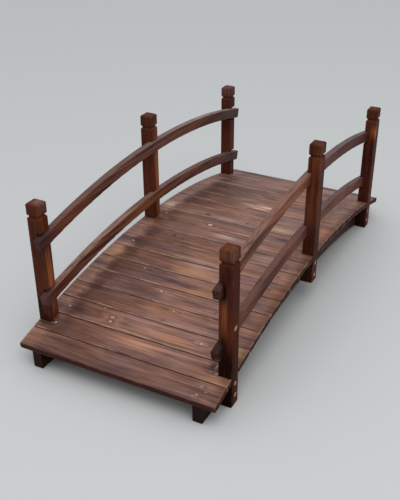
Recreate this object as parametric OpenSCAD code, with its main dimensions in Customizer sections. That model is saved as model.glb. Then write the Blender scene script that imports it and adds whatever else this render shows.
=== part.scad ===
// Moon bridge: a small arched garden footbridge in stained softwood.
//
// Two sawn arch beams (the stringers) stand on their flat-cut ends. Twenty boards lie across them,
// square to the arch. Six square posts are fixed to the outer faces of the beams and rise through
// notches in the boards. Two arched rails a side are let into square-cut housings in the posts.
// The posts are alike but for their lengths, which were cut by hand.
// Deck, rails and the top of the beams are all cut to one radius, so they run parallel.
//
// X runs along the bridge, Y across it and Z up. The origin is on the ground under the middle.
// The near end of the bridge is at -X and its left side is at +Y.

/* [Arch] */
// Radius of the walking surface, which the rails share
deck_radius = 2580; // [2200:10:3200]
// Height of the walking surface above the ground in the middle
crown_height = 170.5; // [155:0.5:190]

/* [Deck] */
// Length of the boards, across the bridge
deck_width = 622; // [480:2:900]
// Width of one board, along the bridge
board_width = 70; // [60:1:76]
// Gap between two boards
board_gap = 2; // [1:0.5:5]
// Thickness of the boards
board_thickness = 17; // [12:1:24]
// Radius of the eased upper edges of the boards
board_edge_radius = 2; // [1:0.5:4]
// Radius of the rounded front edge of the first and the last board
nosing_radius = 6; // [3:0.5:10]

/* [Stringers] */
// Thickness of the arch beams
stringer_thickness = 28; // [20:1:40]
// Depth of the arch beams, from upper to lower edge
stringer_depth = 83; // [70:1:95]
// How far the last boards reach past the ends of the beams
stringer_setback = 1; // [0.5:0.5:20]
// Radius of the eased lower corner of each foot
foot_radius = 4; // [1:1:8]

/* [Posts] */
// Width of the square posts
post_width = 40; // [34:1:50]
// Length of the near left post
near_left_length = 470; // [440:1:540]
// Length of the near right post
near_right_length = 479; // [440:1:540]
// Length of the middle left post
middle_left_length = 463; // [440:1:540]
// Length of the middle right post
middle_right_length = 471; // [440:1:540]
// Length of the far left post
far_left_length = 464; // [440:1:540]
// Length of the far right post
far_right_length = 469; // [440:1:540]
// Distance from the middle posts to the end posts
post_spacing = 592; // [560:1:620]
// How far the outer faces of the posts stand proud of the board ends
post_proud = 0.5; // [0:0.5:4]
// Height of the block above the neck
cap_height = 33; // [24:1:45]
// Height of the V-shaped neck
neck_height = 13; // [8:1:18]
// Depth of the neck on each face
neck_depth = 5.5; // [3:0.5:8]
// Chamfer round the top of the post
top_chamfer = 4; // [2:0.5:8]
// Radius of the eased corners of the posts
post_edge_radius = 2; // [1:0.5:3]

/* [Rails] */
// Thickness of the rails
rail_thickness = 22; // [16:1:30]
// Height of the rails
rail_height = 36; // [28:1:44]
// How deep the rails are let into the posts
rail_let_in = 13; // [8:1:18]
// Top of the upper rail above the deck
upper_rail_rise = 277.5; // [240:0.5:290]
// Top of the lower rail above the deck
lower_rail_rise = 99; // [80:0.5:140]
// How far the rails run on past the end posts
rail_overrun = 15; // [5:1:40]
// The same for the lower right rail, which was left a little longer
long_overrun = 23; // [5:1:40]
// Radius of the eased edges of the rails
rail_edge_radius = 3; // [1:0.5:5]
// Radius of the rounded lower corner at each end of a rail
rail_end_radius = 8; // [2:1:12]

/* [Fits] */
// Gap between a board and the beam that it is screwed down to
seat_gap = 0.2; // [0.1:0.1:0.5]
// Gap round a post in the notch of a board
notch_gap = 0.5; // [0.3:0.1:1.5]
// Gap above and below a rail in its housing
housing_gap = 0.5; // [0.3:0.1:1.5]
// A strip of board narrower than this isn't left standing beside a notch
least_strip = 6; // [3:1:12]

/* [Hidden] */

LEFT = 1;
RIGHT = -1;
NEAR = -1;
MIDDLE = 0;
FAR = 1;

// Cutting shapes run this far past the faces that they cut
cut = 1;
// Facets round the full circle of the arch, and round an eased edge
arch_fn = 1440;
edge_fn = 48;

// Each board is a piece of its own, so their number is fixed by the list above
board_count = 20;
board_pitch = board_width + board_gap;
// Angle from one board to the next, seen from the centre of the arch
pitch_angle = board_pitch / deck_radius * 180 / PI;
// Height of the centre of the arch, far below the ground
centre_z = crown_height - deck_radius;

// The beams' upper and lower edges, as radii of the arch
stringer_top_radius = deck_radius - board_thickness - seat_gap;
stringer_low_radius = stringer_top_radius - stringer_depth;
// Underside of the beams in the middle, where the middle posts end
stringer_low_z = centre_z + stringer_low_radius;
// The beams' plumb-cut ends, set back from the lower front edge of the last board
stringer_end_x = edge_x(board_count, FAR, deck_radius - board_thickness) - stringer_setback;

// Inner and outer faces of the posts; the beams lie against the inner ones
post_outer_y = deck_width / 2 + post_proud;
post_inner_y = post_outer_y - post_width;
// Rails: their outer faces bear on the backs of the housings
rail_outer_y = post_inner_y + rail_let_in;
rail_middle_y = rail_outer_y - rail_thickness / 2;

// Angle of board i, counted from the near end; 0 would stand plumb on the crown
function board_angle(i) = (i - (board_count + 1) / 2) * pitch_angle;
// Place along X of an edge of board i, at a given radius of the arch
function edge_x(i, side, radius) =
    radius * sin(board_angle(i)) + side * board_width / 2 * cos(board_angle(i));
// Height at x of an arc that is as high as z in the middle
function arc_z(x, z, radius) = z - radius + sqrt(radius * radius - x * x);

// What an eased corner loses: a square of side r less its quarter circle, corner at the origin
module corner_waste(r) {
    difference() {
        translate([-cut, -cut]) square(r + cut);
        translate([r, r]) circle(r, $fn = edge_fn);
    }
}

// A rectangle about the origin with all four corners eased
module eased_rectangle(width, height, r) {
    difference() {
        square([width, height], center = true);
        for (sx = [-1, 1], sy = [-1, 1])
            translate([sx * width / 2, sy * height / 2])
                turn_corner(sx, sy) corner_waste(r);
    }
}

// Turns a corner waste so that it lies inwards from the corner at (sx, sy)
module turn_corner(sx, sy) {
    mirror([sx > 0 ? 1 : 0, 0]) mirror([0, sy > 0 ? 1 : 0]) children();
}

// Section of a board, its lower face on the X axis; the upper edges are eased
module board_section(near_radius, far_radius) {
    difference() {
        translate([-board_width / 2, 0]) square([board_width, board_thickness]);
        translate([-board_width / 2, board_thickness])
            turn_corner(-1, 1) corner_waste(near_radius);
        translate([board_width / 2, board_thickness])
            turn_corner(1, 1) corner_waste(far_radius);
    }
}

// Room for a post in board i. The cut is plumb, and runs out through the edge of the board
// where only a thin strip would be left.
module post_slot(i, post_x, side) {
    low_face = post_x - post_width / 2 - notch_gap;
    high_face = post_x + post_width / 2 + notch_gap;
    low_edge = max(edge_x(i, -1, deck_radius), edge_x(i, -1, deck_radius - board_thickness));
    high_edge = min(edge_x(i, 1, deck_radius), edge_x(i, 1, deck_radius - board_thickness));
    from = low_face - low_edge < least_strip ? low_face - board_width : low_face;
    to = high_edge - high_face < least_strip ? high_face + board_width : high_face;
    inner = post_inner_y - notch_gap;
    translate([from, side > 0 ? inner : -inner - post_width - cut, 0])
        cube([to - from, post_width + cut, 2 * crown_height]);
}

// A board across the bridge, tangent to the arch, notched where a post passes
module deck_board(i) {
    color([0.45, 0.27, 0.19])
    difference() {
        translate([0, 0, centre_z])
            rotate([0, board_angle(i), 0])
                translate([0, 0, deck_radius - board_thickness])
                    rotate([90, 0, 0])
                        linear_extrude(deck_width, center = true)
                            board_section(i == 1 ? nosing_radius : board_edge_radius,
                                          i == board_count ? nosing_radius : board_edge_radius);
        for (along = [NEAR, MIDDLE, FAR], side = [LEFT, RIGHT])
            post_slot(i, along * post_spacing, side);
    }
}

// An arch beam: a ring cut off plumb at its ends and flat on the ground, its outermost lower
// corners eased
module stringer(side) {
    color([0.24, 0.13, 0.09])
    translate([0, side * (post_inner_y - stringer_thickness / 2), 0])
    difference() {
        intersection() {
            translate([0, 0, centre_z]) rotate([90, 0, 0])
                difference() {
                    cylinder(r = stringer_top_radius, h = stringer_thickness, center = true,
                             $fn = arch_fn);
                    cylinder(r = stringer_low_radius, h = stringer_thickness + 2 * cut,
                             center = true, $fn = arch_fn);
                }
            translate([-stringer_end_x, -stringer_thickness, 0])
                cube([2 * stringer_end_x, 2 * stringer_thickness, crown_height]);
        }
        for (end = [NEAR, FAR])
            translate([end * stringer_end_x, 0, 0]) rotate([90, 0, 0])
                linear_extrude(stringer_thickness + 2 * cut, center = true)
                    turn_corner(end, -1) corner_waste(foot_radius);
    }
}

// An arched rail with eased edges, sawn to the deck's radius and cut off square to its curve
module rail(side, rise, overrun) {
    mid_radius = deck_radius - rail_height / 2;
    half_angle = asin((post_spacing + post_width / 2 + overrun) / mid_radius);
    color([0.30, 0.16, 0.12])
    translate([0, side * rail_middle_y, centre_z + rise]) rotate([90, 0, 0])
    difference() {
        rotate([0, 0, 90 - half_angle])
            rotate_extrude(angle = 2 * half_angle, $fn = arch_fn)
                translate([mid_radius, 0])
                    eased_rectangle(rail_height, rail_thickness, rail_edge_radius);
        for (end = [NEAR, FAR])
            rotate([0, 0, -end * half_angle])
                translate([0, deck_radius - rail_height, 0])
                    linear_extrude(rail_thickness + 2 * cut, center = true)
                        turn_corner(end, -1) corner_waste(rail_end_radius);
    }
}

// Housing for a rail, cut square across the inner face of a post. It takes in the whole rise
// of the rail across the width of the post.
module rail_housing(post_x, rise) {
    near_x = abs(post_x) < post_width ? 0 : abs(post_x) - post_width / 2;
    far_x = abs(post_x) + post_width / 2;
    top = arc_z(near_x, crown_height + rise, deck_radius) + housing_gap;
    low = arc_z(far_x, crown_height + rise - rail_height, deck_radius - rail_height)
        - housing_gap;
    translate([-post_width / 2 - cut, -post_width / 2 - cut, low])
        cube([post_width + 2 * cut, rail_let_in + cut, top - low]);
}

// V-shaped neck round the post, one bevelled cut on each face
module neck(z) {
    for (turn = [0, 90, 180, 270])
        rotate([0, 0, turn]) translate([post_width / 2, 0, z]) rotate([90, 0, 0])
            linear_extrude(post_width + 2 * cut, center = true)
                polygon([[-neck_depth, 0],
                         [cut, -neck_height / 2 * (1 + cut / neck_depth)],
                         [cut, neck_height / 2 * (1 + cut / neck_depth)]]);
}

// Bevel round the top of the post, one cut on each face
module top_bevel(z) {
    for (turn = [0, 90, 180, 270])
        rotate([0, 0, turn]) translate([post_width / 2, 0, z]) rotate([90, 0, 0])
            linear_extrude(post_width + 2 * cut, center = true)
                polygon([[-top_chamfer - cut, cut], [cut, -top_chamfer - cut], [cut, cut]]);
}

// A post: end posts stand on the ground, middle posts end level with the beams' underside
module post(along, side, length) {
    post_x = along * post_spacing;
    base_z = along == MIDDLE ? stringer_low_z : 0;
    color([0.27, 0.13, 0.09])
    translate([post_x, side * (post_outer_y - post_width / 2), 0])
    mirror([0, side > 0 ? 0 : 1, 0])
    difference() {
        translate([0, 0, base_z]) linear_extrude(length)
            eased_rectangle(post_width, post_width, post_edge_radius);
        neck(base_z + length - cap_height - neck_height / 2);
        top_bevel(base_z + length);
        rail_housing(post_x, upper_rail_rise);
        rail_housing(post_x, lower_rail_rise);
    }
}

stringer(LEFT);  // stringer_left
stringer(RIGHT);  // stringer_right
deck_board(1);  // deck_board_01
deck_board(2);  // deck_board_02
deck_board(3);  // deck_board_03
deck_board(4);  // deck_board_04
deck_board(5);  // deck_board_05
deck_board(6);  // deck_board_06
deck_board(7);  // deck_board_07
deck_board(8);  // deck_board_08
deck_board(9);  // deck_board_09
deck_board(10);  // deck_board_10
deck_board(11);  // deck_board_11
deck_board(12);  // deck_board_12
deck_board(13);  // deck_board_13
deck_board(14);  // deck_board_14
deck_board(15);  // deck_board_15
deck_board(16);  // deck_board_16
deck_board(17);  // deck_board_17
deck_board(18);  // deck_board_18
deck_board(19);  // deck_board_19
deck_board(20);  // deck_board_20
post(NEAR, LEFT, near_left_length);  // post_near_left
post(NEAR, RIGHT, near_right_length);  // post_near_right
post(MIDDLE, LEFT, middle_left_length);  // post_middle_left
post(MIDDLE, RIGHT, middle_right_length);  // post_middle_right
post(FAR, LEFT, far_left_length);  // post_far_left
post(FAR, RIGHT, far_right_length);  // post_far_right
rail(LEFT, upper_rail_rise, rail_overrun);  // rail_upper_left
rail(LEFT, lower_rail_rise, rail_overrun);  // rail_lower_left
rail(RIGHT, upper_rail_rise, rail_overrun);  // rail_upper_right
rail(RIGHT, lower_rail_rise, long_overrun);  // rail_lower_right
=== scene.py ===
# %% [markdown]
# # A stained softwood moon bridge
# The bridge comes in as exact solids: boards, arch beams, posts and rails. This lesson dresses
# them. Each timber gets a wood whose grain runs along its own length, and the screws are added
# as small turned meshes. The solids stay where they are, so everything below is looks.

# %% Load the solids
import math
import bpy
import numpy as np
from mathutils import Matrix, Vector


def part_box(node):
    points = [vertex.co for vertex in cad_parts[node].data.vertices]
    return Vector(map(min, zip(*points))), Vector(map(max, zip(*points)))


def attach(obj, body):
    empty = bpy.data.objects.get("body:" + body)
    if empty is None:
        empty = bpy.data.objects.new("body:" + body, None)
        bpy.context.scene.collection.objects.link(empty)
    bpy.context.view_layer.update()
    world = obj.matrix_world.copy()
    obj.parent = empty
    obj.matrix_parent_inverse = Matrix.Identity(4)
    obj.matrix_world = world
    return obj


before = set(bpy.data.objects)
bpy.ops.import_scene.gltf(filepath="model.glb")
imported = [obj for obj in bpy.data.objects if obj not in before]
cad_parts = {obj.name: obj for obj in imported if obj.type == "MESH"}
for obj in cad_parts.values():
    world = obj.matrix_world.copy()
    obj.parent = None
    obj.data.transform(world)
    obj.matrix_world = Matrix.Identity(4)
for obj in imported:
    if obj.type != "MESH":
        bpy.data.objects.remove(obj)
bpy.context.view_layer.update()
scene = bpy.context.scene

# %% [markdown]
# ## The view
# The camera stands 2.6 metres from the bridge's middle and looks down along the deck. The picture
# was cut out of a larger one, so its optical axis lies off the middle. A small lens shift makes up
# for a part of that and a turn of the camera for the rest, so that the whole bridge stays in the
# picture when the same lens looks at it from another side.

# %% Camera
YAW, PITCH, ROLL = 0.46254, 0.52809, 0.00679
EYE = (-2.0525, -0.9867, 1.3650)
FOCAL_PIXELS, PICTURE_PIXELS = 769.985, 500

ahead = Vector((math.cos(YAW) * math.cos(PITCH), math.sin(YAW) * math.cos(PITCH), -math.sin(PITCH)))
across = ahead.cross(Vector((0, 0, 1))).normalized()
upward = across.cross(ahead)
across, upward = (across * math.cos(ROLL) + upward * math.sin(ROLL),
                  upward * math.cos(ROLL) - across * math.sin(ROLL))

lens = bpy.data.cameras.new("camera")
lens.sensor_width = 36
lens.lens = FOCAL_PIXELS * lens.sensor_width / PICTURE_PIXELS
lens.shift_x = -0.0354
lens.shift_y = 0.0344
camera = bpy.data.objects.new("camera", lens)
scene.collection.objects.link(camera)
camera.matrix_world = (Matrix.Translation(EYE)
                       @ Matrix((across, upward, -ahead)).transposed().to_4x4())
scene.camera = camera
print("lens %.2f mm, shift %.3f %.3f" % (lens.lens, lens.shift_x, lens.shift_y))

# %% [markdown]
# ## A shorthand for node trees
# A procedural wood takes dozens of nodes. Wiring them one call at a time hides the recipe, so
# this small helper turns each step into one line: a noise, a smooth step, a blend of two
# colours. Every input may be a number, a tuple or the output of an earlier step.

# %% Helper to wire a node tree


class Wiring:
    """Adds nodes to one tree. Every input may be a number, a tuple or another node's output."""

    def __init__(self, tree):
        self.tree = tree

    def fill(self, socket, value):
        if isinstance(value, bpy.types.NodeSocket):
            self.tree.links.new(value, socket)
        elif socket.type == "RGBA" and len(value) == 3:
            socket.default_value = (*value, 1.0)
        else:
            socket.default_value = value

    def node(self, kind, inputs=None, **settings):
        made = self.tree.nodes.new(kind)
        for name, value in settings.items():
            setattr(made, name, value)
        for name, value in (inputs or {}).items():
            self.fill(made.inputs[name], value)
        return made

    def math(self, operation, *values, clamp=False):
        made = self.node("ShaderNodeMath", dict(enumerate(values)), operation=operation,
                         use_clamp=clamp)
        return made.outputs[0]

    def vector(self, operation, *values):
        made = self.node("ShaderNodeVectorMath", dict(enumerate(values)), operation=operation)
        return made.outputs["Value" if operation == "LENGTH" else "Vector"]

    def noise(self, vector, stretch, seed, detail=2.0, rough=0.5):
        """Noise from 0 to 1. stretch says how often it turns over per metre, on each axis."""
        scaled = self.vector("MULTIPLY", vector, stretch)
        return self.node("ShaderNodeTexNoise", {"Vector": scaled, "W": seed, "Scale": 1.0,
                                                "Detail": detail, "Roughness": rough},
                         noise_dimensions="4D").outputs["Fac"]

    def step(self, value, low, high, out_low=0.0, out_high=1.0):
        """Goes smoothly from out_low to out_high as value goes from low to high."""
        made = self.node("ShaderNodeMapRange", {"Value": value, "From Min": low, "From Max": high,
                                                "To Min": out_low, "To Max": out_high},
                         interpolation_type="SMOOTHSTEP")
        return made.outputs["Result"]

    def times(self, *values):
        made = values[0]
        for value in values[1:]:
            made = self.math("MULTIPLY", made, value)
        return made

    def plus(self, *values):
        made = values[0]
        for value in values[1:]:
            made = self.math("ADD", made, value)
        return made

    def swing(self, noise, amount):
        """Turns a noise about 0.5 into one about nothing: (noise - 0.5) * amount."""
        return self.times(self.math("SUBTRACT", noise, 0.5), amount)

    def blend(self, amount, first, second, kind="MIX"):
        """Goes from the first colour to the second as amount goes from 0 to 1."""
        made = self.node("ShaderNodeMix", data_type="RGBA", blend_type=kind, clamp_factor=True)
        for socket, value in ((made.inputs[0], amount), (made.inputs[6], first),
                              (made.inputs[7], second)):
            self.fill(socket, value)
        return made.outputs[2]

    def tint(self, colour, factors):
        """The colour with each channel multiplied by its factor."""
        return self.blend(1.0, colour, factors, "MULTIPLY")

    def parts(self, vector):
        return self.node("ShaderNodeSeparateXYZ", {0: vector}).outputs[:]


def new_material(name):
    """An empty material, its shader and the wiring of its tree."""
    material = bpy.data.materials.new(name)
    material.use_nodes = True
    return material, material.node_tree.nodes["Principled BSDF"], Wiring(material.node_tree)


# %% [markdown]
# ## Floor and light
# The floor is plain and pale. An overcast sky is about three times brighter overhead than at
# the horizon, which is why boards look greyer and lighter than the upright faces beside them.
# The world repeats that, and one large dim lamp gives the forms a direction. What the camera
# sees behind the floor is a flat grey of the floor's own brightness, so no horizon shows.

# %% Floor
FLOOR_REACH = 60
FLOOR_GREY = (0.52, 0.52, 0.515, 1.0)

floor_mesh = bpy.data.meshes.new("floor")
floor_mesh.from_pydata([(-FLOOR_REACH, -FLOOR_REACH, 0), (FLOOR_REACH, -FLOOR_REACH, 0),
                        (FLOOR_REACH, FLOOR_REACH, 0), (-FLOOR_REACH, FLOOR_REACH, 0)],
                       [], [(0, 1, 2, 3)])
floor = bpy.data.objects.new("floor", floor_mesh)
scene.collection.objects.link(floor)
floor_paint, floor_shader, _ = new_material("floor_paint")
floor_shader.inputs["Base Color"].default_value = FLOOR_GREY
floor_shader.inputs["Roughness"].default_value = 0.9
floor_shader.inputs["Specular IOR Level"].default_value = 0.2
floor_mesh.materials.append(floor_paint)
print("floor", 2 * FLOOR_REACH, "m across")

# %% Light
HORIZON, OVERHEAD, BACKDROP = (0.40, 0.41, 0.42), (1.12, 1.16, 1.20), (0.498, 0.517, 0.529)
SKY_STRENGTH = 0.95
LAMP_SIZE, LAMP_WATTS = 3.5, 60
LAMP_PLACE, LIT_PLACE = Vector((-1.6, -1.2, 4.0)), Vector((0, 0, 0.2))

world = bpy.data.worlds.new("overcast")
scene.world = world
world.use_nodes = True
wiring = Wiring(world.node_tree)
rise = wiring.parts(wiring.node("ShaderNodeTexCoord").outputs["Generated"])[2]
glow = wiring.blend(wiring.step(rise, -0.1, 1.0), HORIZON, OVERHEAD)
seen = wiring.node("ShaderNodeLightPath").outputs["Is Camera Ray"]
background = world.node_tree.nodes["Background"]
wiring.fill(background.inputs["Color"], wiring.blend(seen, glow, BACKDROP))
background.inputs["Strength"].default_value = SKY_STRENGTH

lamp_data = bpy.data.lights.new("soft_lamp", "AREA")
lamp_data.shape = "DISK"
lamp_data.size = LAMP_SIZE
lamp_data.energy = LAMP_WATTS
lamp = bpy.data.objects.new("soft_lamp", lamp_data)
scene.collection.objects.link(lamp)
lamp.location = LAMP_PLACE
lamp.rotation_euler = (LIT_PLACE - lamp.location).to_track_quat("-Z", "Y").to_euler()
scene.view_settings.view_transform = "Standard"
print("lamp", tuple(lamp.location), lamp_data.energy, "W")

# %% [markdown]
# ## The figure of sawn wood
# A trunk grows in rings round its pith. A timber sawn from it is a slice through those rings,
# so its figure isn't a picture on the surface: it runs through the wood, and the face, the edge
# and the end of a board all cut the same rings. The group below works that out in the timber's
# own frame, with the grain along Y. The distance from a pith line, bent a little, is counted in
# rings; each ring is pale early wood that darkens to a thin hard line of late wood.
#
# Finer and broader noises lie along the same grain. They are told in one table, and each starts
# at its own offset from the timber's seed, so that no two of them run alike.

# %% Noises along the grain

# turns per metre across and along the grain, seed offset, detail, roughness
GRAIN_NOISES = {
    "jitter": (120.0, 7.0, 3.0, 2.0, 0.60),
    "streak": (150.0, 3.6, 11.0, 3.0, 0.62),
    "grain": (420.0, 8.0, 37.0, 2.0, 0.60),
    "fibre": (1100.0, 30.0, 19.0, 3.0, 0.65),
    "cloud": (9.0, 5.0, 29.0, 2.5, 0.55),
    "mottle": (56.0, 11.0, 83.0, 3.0, 0.60),
    "hue": (14.0, 5.0, 71.0, 2.5, 0.55),
    "scorch": (16.0, 7.0, 41.0, 3.0, 0.60),
    "rubbed": (60.0, 22.0, 53.0, 3.0, 0.50),
}


def grain_noise(wiring, label, place, seed):
    """One noise of the table. The seed may be a number or a socket."""
    across, along, offset, detail, rough = GRAIN_NOISES[label]
    start = seed + offset if isinstance(seed, float) else wiring.plus(seed, offset)
    return wiring.noise(place, (across, along, across), start, detail, rough)


def new_group(name, inputs, outputs):
    """A node group with those sockets, each given as (name, kind)."""
    tree = bpy.data.node_groups.new(name, "ShaderNodeTree")
    for direction, sockets in (("INPUT", inputs), ("OUTPUT", outputs)):
        for label, kind in sockets:
            tree.interface.new_socket(name=label, in_out=direction, socket_type="NodeSocket" + kind)
    wiring = Wiring(tree)
    return wiring, wiring.node("NodeGroupInput").outputs, wiring.node("NodeGroupOutput").inputs


print("noises along the grain:", ", ".join(GRAIN_NOISES))

# %% [markdown]
# The rings themselves. A ring starts pale in spring, darkens slowly, and stops at once in winter,
# so the late wood line has a soft inner side and a sharp outer one. The bend of the trunk is a
# slow noise that moves a place by up to 15 mm before its distance from the pith is taken.

# %% Node group: figure
BEND, BEND_ACROSS, BEND_ALONG = 0.030, 13.0, 2.4
RING_JITTER = 0.7
LATE_STARTS, LATE_STOPS = (0.35, 0.88), (0.90, 0.98)


def figure_group():
    """Rings: length of (place + bend - pith) across the grain, divided by the ring width."""
    wiring, given, result = new_group(
        "figure",
        [("Place", "Vector"), ("Seed", "Float"), ("Pith", "Vector"), ("Ring", "Float"),
         ("Push", "Float")],
        [("Late", "Float"), ("Band", "Float"), ("Streak", "Float"), ("Grain", "Float"),
         ("Fibre", "Float"), ("Cloud", "Float"), ("Mottle", "Float")])
    place, seed = given["Place"], given["Seed"]
    stretched = wiring.vector("MULTIPLY", place, (BEND_ACROSS, BEND_ALONG, BEND_ACROSS))
    slow = wiring.node("ShaderNodeTexNoise", {"Vector": stretched, "W": seed, "Scale": 1.0,
                                              "Detail": 1.5}, noise_dimensions="4D").outputs["Color"]
    bend = wiring.vector("MULTIPLY", wiring.vector("SUBTRACT", slow, (0.5, 0.5, 0.5)),
                         (BEND, 0.0, BEND))
    offset = wiring.vector("SUBTRACT", wiring.vector("ADD", place, bend), given["Pith"])
    distance = wiring.vector("LENGTH", wiring.vector("MULTIPLY", offset, (1.0, 0.0, 1.0)))
    rings = wiring.plus(wiring.math("DIVIDE", distance, given["Ring"]), given["Push"],
                        wiring.swing(grain_noise(wiring, "jitter", place, seed), RING_JITTER))
    within = wiring.math("FRACT", rings)
    late = wiring.times(wiring.step(within, *LATE_STARTS),
                        wiring.step(within, *LATE_STOPS, 1.0, 0.0))
    # some rings are darker than others: a noise over the ring number, slow along the grain
    ring_place = wiring.node("ShaderNodeCombineXYZ",
                             {0: wiring.times(rings, 0.62),
                              1: wiring.times(wiring.parts(place)[1], 1.1),
                              2: wiring.times(seed, 7.31)}).outputs[0]
    band = wiring.node("ShaderNodeTexNoise", {"Vector": ring_place, "Scale": 1.0, "Detail": 2.0,
                                              "Roughness": 0.6}).outputs["Fac"]
    wiring.fill(result["Late"], late)
    wiring.fill(result["Band"], band)
    for label in ("Streak", "Grain", "Fibre", "Cloud", "Mottle"):
        wiring.fill(result[label], grain_noise(wiring, label.lower(), place, seed))
    return wiring.tree


FIGURE = figure_group()
print("figure:", len(FIGURE.nodes), "nodes")

# %% [markdown]
# A knot is a branch that the trunk grew round. It shows as an eye with a core and a dark rim, and
# the rings bow aside to pass it. One group gives all three, so that the bow and the eye belong
# to the same place.

# %% Node group: knot


def knot_group():
    """Core and rim by distance over size; the push on the rings falls off as a bell curve."""
    wiring, given, result = new_group(
        "knot", [("Place", "Vector"), ("Centre", "Vector"), ("Size", "Float")],
        [("Push", "Float"), ("Core", "Float"), ("Rim", "Float")])
    away = wiring.vector("SUBTRACT", given["Place"], given["Centre"])
    wobble = wiring.noise(given["Place"], (160.0, 110.0, 0.0), 2.0, 2.0)
    oval = wiring.vector("LENGTH", wiring.vector("MULTIPLY", away, (1.0, 0.8, 0.0)))
    reach = wiring.plus(wiring.math("DIVIDE", oval, given["Size"]), wiring.swing(wobble, 1.0))
    long_oval = wiring.vector("LENGTH", wiring.vector("MULTIPLY", away, (1.0, 0.30, 0.0)))
    wide = wiring.math("DIVIDE", long_oval, wiring.times(given["Size"], 1.6))
    push = wiring.times(wiring.math("EXPONENT", wiring.times(wide, wide, -1.0)), 3.0)
    core = wiring.step(reach, 0.70, 1.0, 1.0, 0.0)
    rim = wiring.times(wiring.step(reach, 0.75, 1.0), wiring.step(reach, 1.05, 1.5, 1.0, 0.0))
    for label, value in (("Push", push), ("Core", core), ("Rim", rim)):
        wiring.fill(result[label], value)
    return wiring.tree


KNOT = knot_group()
print("knot:", len(KNOT.nodes), "nodes")

# %% [markdown]
# A soft-edged patch marks a place that the torch scorched or that wore pale. A bell curve of the
# distance has no border that the eye could find, and a reach of its own on each axis makes it a
# spot, a stripe, or a whole face of a timber.

# %% Node group: patch


def patch_group():
    """A bell curve of the distance from the centre, with its own reach on each axis."""
    wiring, given, result = new_group(
        "patch", [("Place", "Vector"), ("Centre", "Vector"), ("Per Reach", "Vector")],
        [("Amount", "Float")])
    away = wiring.vector("MULTIPLY", wiring.vector("SUBTRACT", given["Place"], given["Centre"]),
                         given["Per Reach"])
    reach = wiring.vector("LENGTH", away)
    wiring.fill(result["Amount"], wiring.math("EXPONENT", wiring.times(reach, reach, -1.0)))
    return wiring.tree


PATCH = patch_group()
print("patch:", len(PATCH.nodes), "nodes")

# %% [markdown]
# ## One wood for all the timbers
# The bridge is softwood that was torched, brushed and stained. One recipe serves every timber,
# because they were all treated alike. A small record holds what tells one from another: its own
# frame, the seed of its figure, where its pith lay, its tones, and its knots, patches and wear.

# %% What tells one timber from another


class Timber:
    """The frame of one timber (centre and turn, grain along its Y) and what is particular to it."""

    def __init__(self, name, centre, turn, half_size, seed, pith, ring):
        self.name, self.centre, self.turn = name, centre, turn
        self.half_size, self.seed, self.pith, self.ring = half_size, seed, pith, ring
        self.tones = ((0.082, 0.031, 0.023), (0.360, 0.170, 0.114))
        self.lightness, self.contrast, self.mottle = 0.0, 1.0, 0.6
        self.lines, self.scorch, self.wear, self.gloss = 0.5, 0.5, 0.5, 0.25
        # how the tone drifts along the timber: from, to, amount
        self.drift = []
        self.knots, self.patches = [], []


# %% [markdown]
# ## Stain
# Stain sinks deep into soft early wood and hardly into the late wood. So the rings choose between
# the two tones of a timber, together with streaks, clouds and a fine mottle. Where the stain lay
# thick it turned purple, and where it lay thin it turned orange.

# %% Stain, late wood lines and fibres
THICK_STAIN, THIN_STAIN, LATE_WOOD = (0.86, 0.92, 1.12), (1.12, 1.02, 0.86), (0.42, 0.33, 0.32)
BAND_SHARE, STREAK_SHARE, CLOUD_SHARE, MOTTLE_SHARE = 2.2, 1.6, 1.5, 1.6
GRAIN_DARKENS, GRAIN_BRIGHTENS = 0.28, 0.25
FIBRE_DARK, FIBRE_BRIGHT = 0.78, 1.14


def stain(wiring, timber, place, along, figure):
    """Tone: 0.5 + lightness, plus the swing of bands, streaks, clouds and mottle, plus the drift."""
    tone = wiring.plus(wiring.swing(figure["Band"], BAND_SHARE * timber.contrast),
                       wiring.swing(figure["Streak"], STREAK_SHARE * timber.contrast),
                       wiring.swing(figure["Cloud"], CLOUD_SHARE),
                       wiring.swing(figure["Mottle"], MOTTLE_SHARE * timber.mottle),
                       0.5 + timber.lightness)
    for start, end, amount in timber.drift:
        tone = wiring.plus(tone, wiring.step(along, start, end, 0.0, amount))
    colour = wiring.blend(wiring.math("ADD", tone, 0.0, clamp=True), *timber.tones)
    hue = grain_noise(wiring, "hue", place, timber.seed)
    return wiring.blend(wiring.step(hue, 0.35, 0.65), wiring.tint(colour, THICK_STAIN),
                        wiring.tint(colour, THIN_STAIN))


def lines_and_fibres(wiring, timber, colour, figure):
    """Multiplies the colour along the late wood lines, then by a dark or a bright factor."""
    lines = wiring.times(figure["Late"], wiring.step(figure["Streak"], 0.2, 0.7, 1.0, 0.55),
                         timber.lines)
    colour = wiring.blend(lines, colour, wiring.tint(colour, LATE_WOOD))
    for label, dark, bright in (("Grain", 1 - GRAIN_DARKENS * timber.contrast,
                                 1 + GRAIN_BRIGHTENS * timber.contrast),
                                ("Fibre", FIBRE_DARK, FIBRE_BRIGHT)):
        colour = wiring.blend(wiring.step(figure[label], 0.32, 0.68),
                              wiring.tint(colour, (dark,) * 3), wiring.tint(colour, (bright,) * 3))
    return colour


# %% [markdown]
# ## Patches and scorch
# Torching darkens the surface in clouds, and brushing takes the char off the soft early wood.
# Patches are listed one by one. Both are an amount from 0 to 1 by which one more colour is blended
# in.

# %% Patches and scorch
SCORCHED = (0.045, 0.017, 0.012)
SCORCH_FROM, SCORCH_TO = 0.58, 0.78


def bell(wiring, place, centre, reach):
    """Amount of one patch, from its centre and its reach on each axis. No reach means no limit."""
    made = wiring.node("ShaderNodeGroup", node_tree=PATCH)
    wiring.fill(made.inputs["Place"], place)
    made.inputs["Centre"].default_value = centre
    made.inputs["Per Reach"].default_value = [1.0 / r if r else 0.0 for r in reach]
    return made.outputs["Amount"]


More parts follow.
